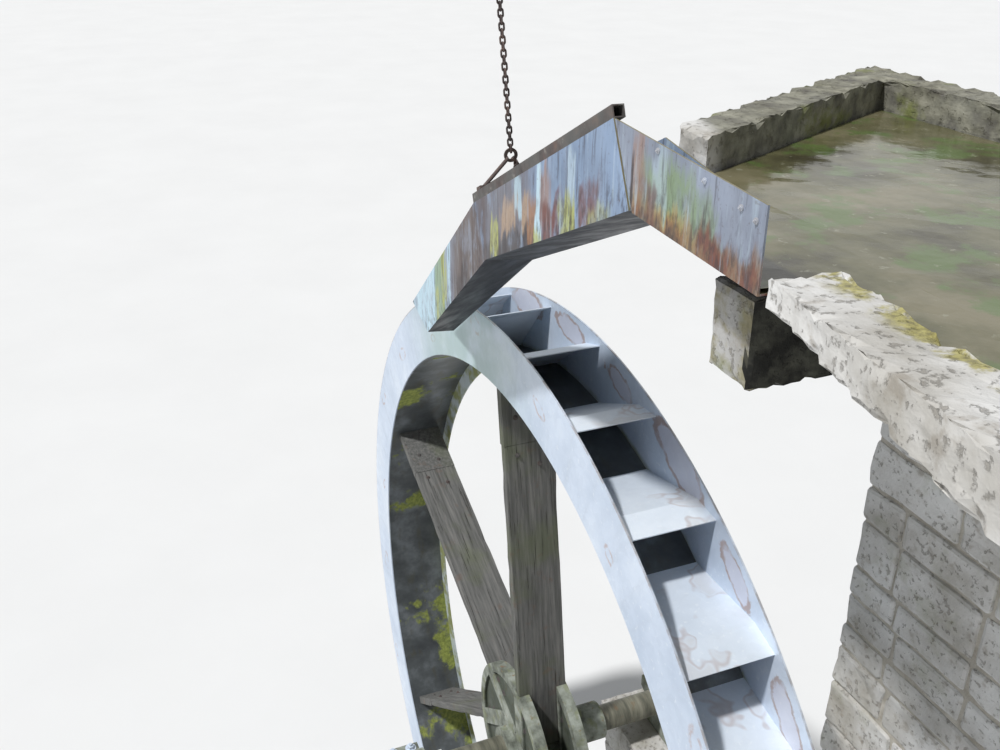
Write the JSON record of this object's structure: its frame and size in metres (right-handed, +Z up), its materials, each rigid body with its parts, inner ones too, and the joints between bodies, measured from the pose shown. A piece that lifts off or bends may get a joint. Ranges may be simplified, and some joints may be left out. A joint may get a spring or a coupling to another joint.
{
  "type": "overshot water wheel",
  "caption": "Overshot water wheel of sheet steel with plank arms on masonry piers, fed by a hung sheet-steel chute from a headrace channel.",
  "frame": {"origin": "on the ground, at the middle of the whole plant's footprint box", "axes": "+Z up, +Y along the axle towards the drive end, +X towards the headrace that feeds the wheel"},
  "size_m": [5.225, 2.213, 6.1944],
  "materials": {
    "zinc_sheet": "galvanised, with rust tide marks",
    "weathered_wood": "weathered grey, mossy",
    "cast_iron": "weathered, mossy",
    "dark_steel": "rusted dark",
    "rusty_sheet": "rust and algae streaks",
    "masonry": "coursed rubble",
    "concrete": "rough, mossy"
  },
  "bodies": {
    "structure": {"near_pier": "masonry", "far_pier": "masonry", "near_cap_stone": "masonry", "far_cap_stone": "masonry", "near_bearing": "cast_iron", "far_bearing": "cast_iron", "near_bearing_cap": "cast_iron", "far_bearing_cap": "cast_iron", "headrace_pier": "masonry", "headrace_beam": "concrete", "headrace_channel": "concrete", "upper_chute": "rusty_sheet", "lower_chute": "rusty_sheet", "chute_spout": "rusty_sheet", "chute_rails": "dark_steel", "chute_hanger": "dark_steel", "hanger_chain": "dark_steel", "chain_eye": "dark_steel"},
    "wheel": {"near_shroud": "zinc_sheet", "far_shroud": "zinc_sheet", "sole": "zinc_sheet", "buckets_1": "zinc_sheet", "buckets_2": "zinc_sheet", "buckets_3": "zinc_sheet", "buckets_4": "zinc_sheet", "buckets_5": "zinc_sheet", "buckets_6": "zinc_sheet", "arm_1": "weathered_wood", "arm_2": "weathered_wood", "arm_3": "weathered_wood", "arm_4": "weathered_wood", "arm_5": "weathered_wood", "arm_6": "weathered_wood", "arm_end_pieces": "weathered_wood", "hub_boss": "cast_iron", "near_flange": "cast_iron", "far_flange": "cast_iron", "hub_collar": "cast_iron", "axle": "dark_steel"}
  },
  "joints": [
    {"name": "wheel_spin", "type": "hinge", "parent": "structure", "child": "wheel", "pos_m": [-0.3626, -0.209, 2.36], "axis": [0, -1, 0], "continuous": true}
  ]
}
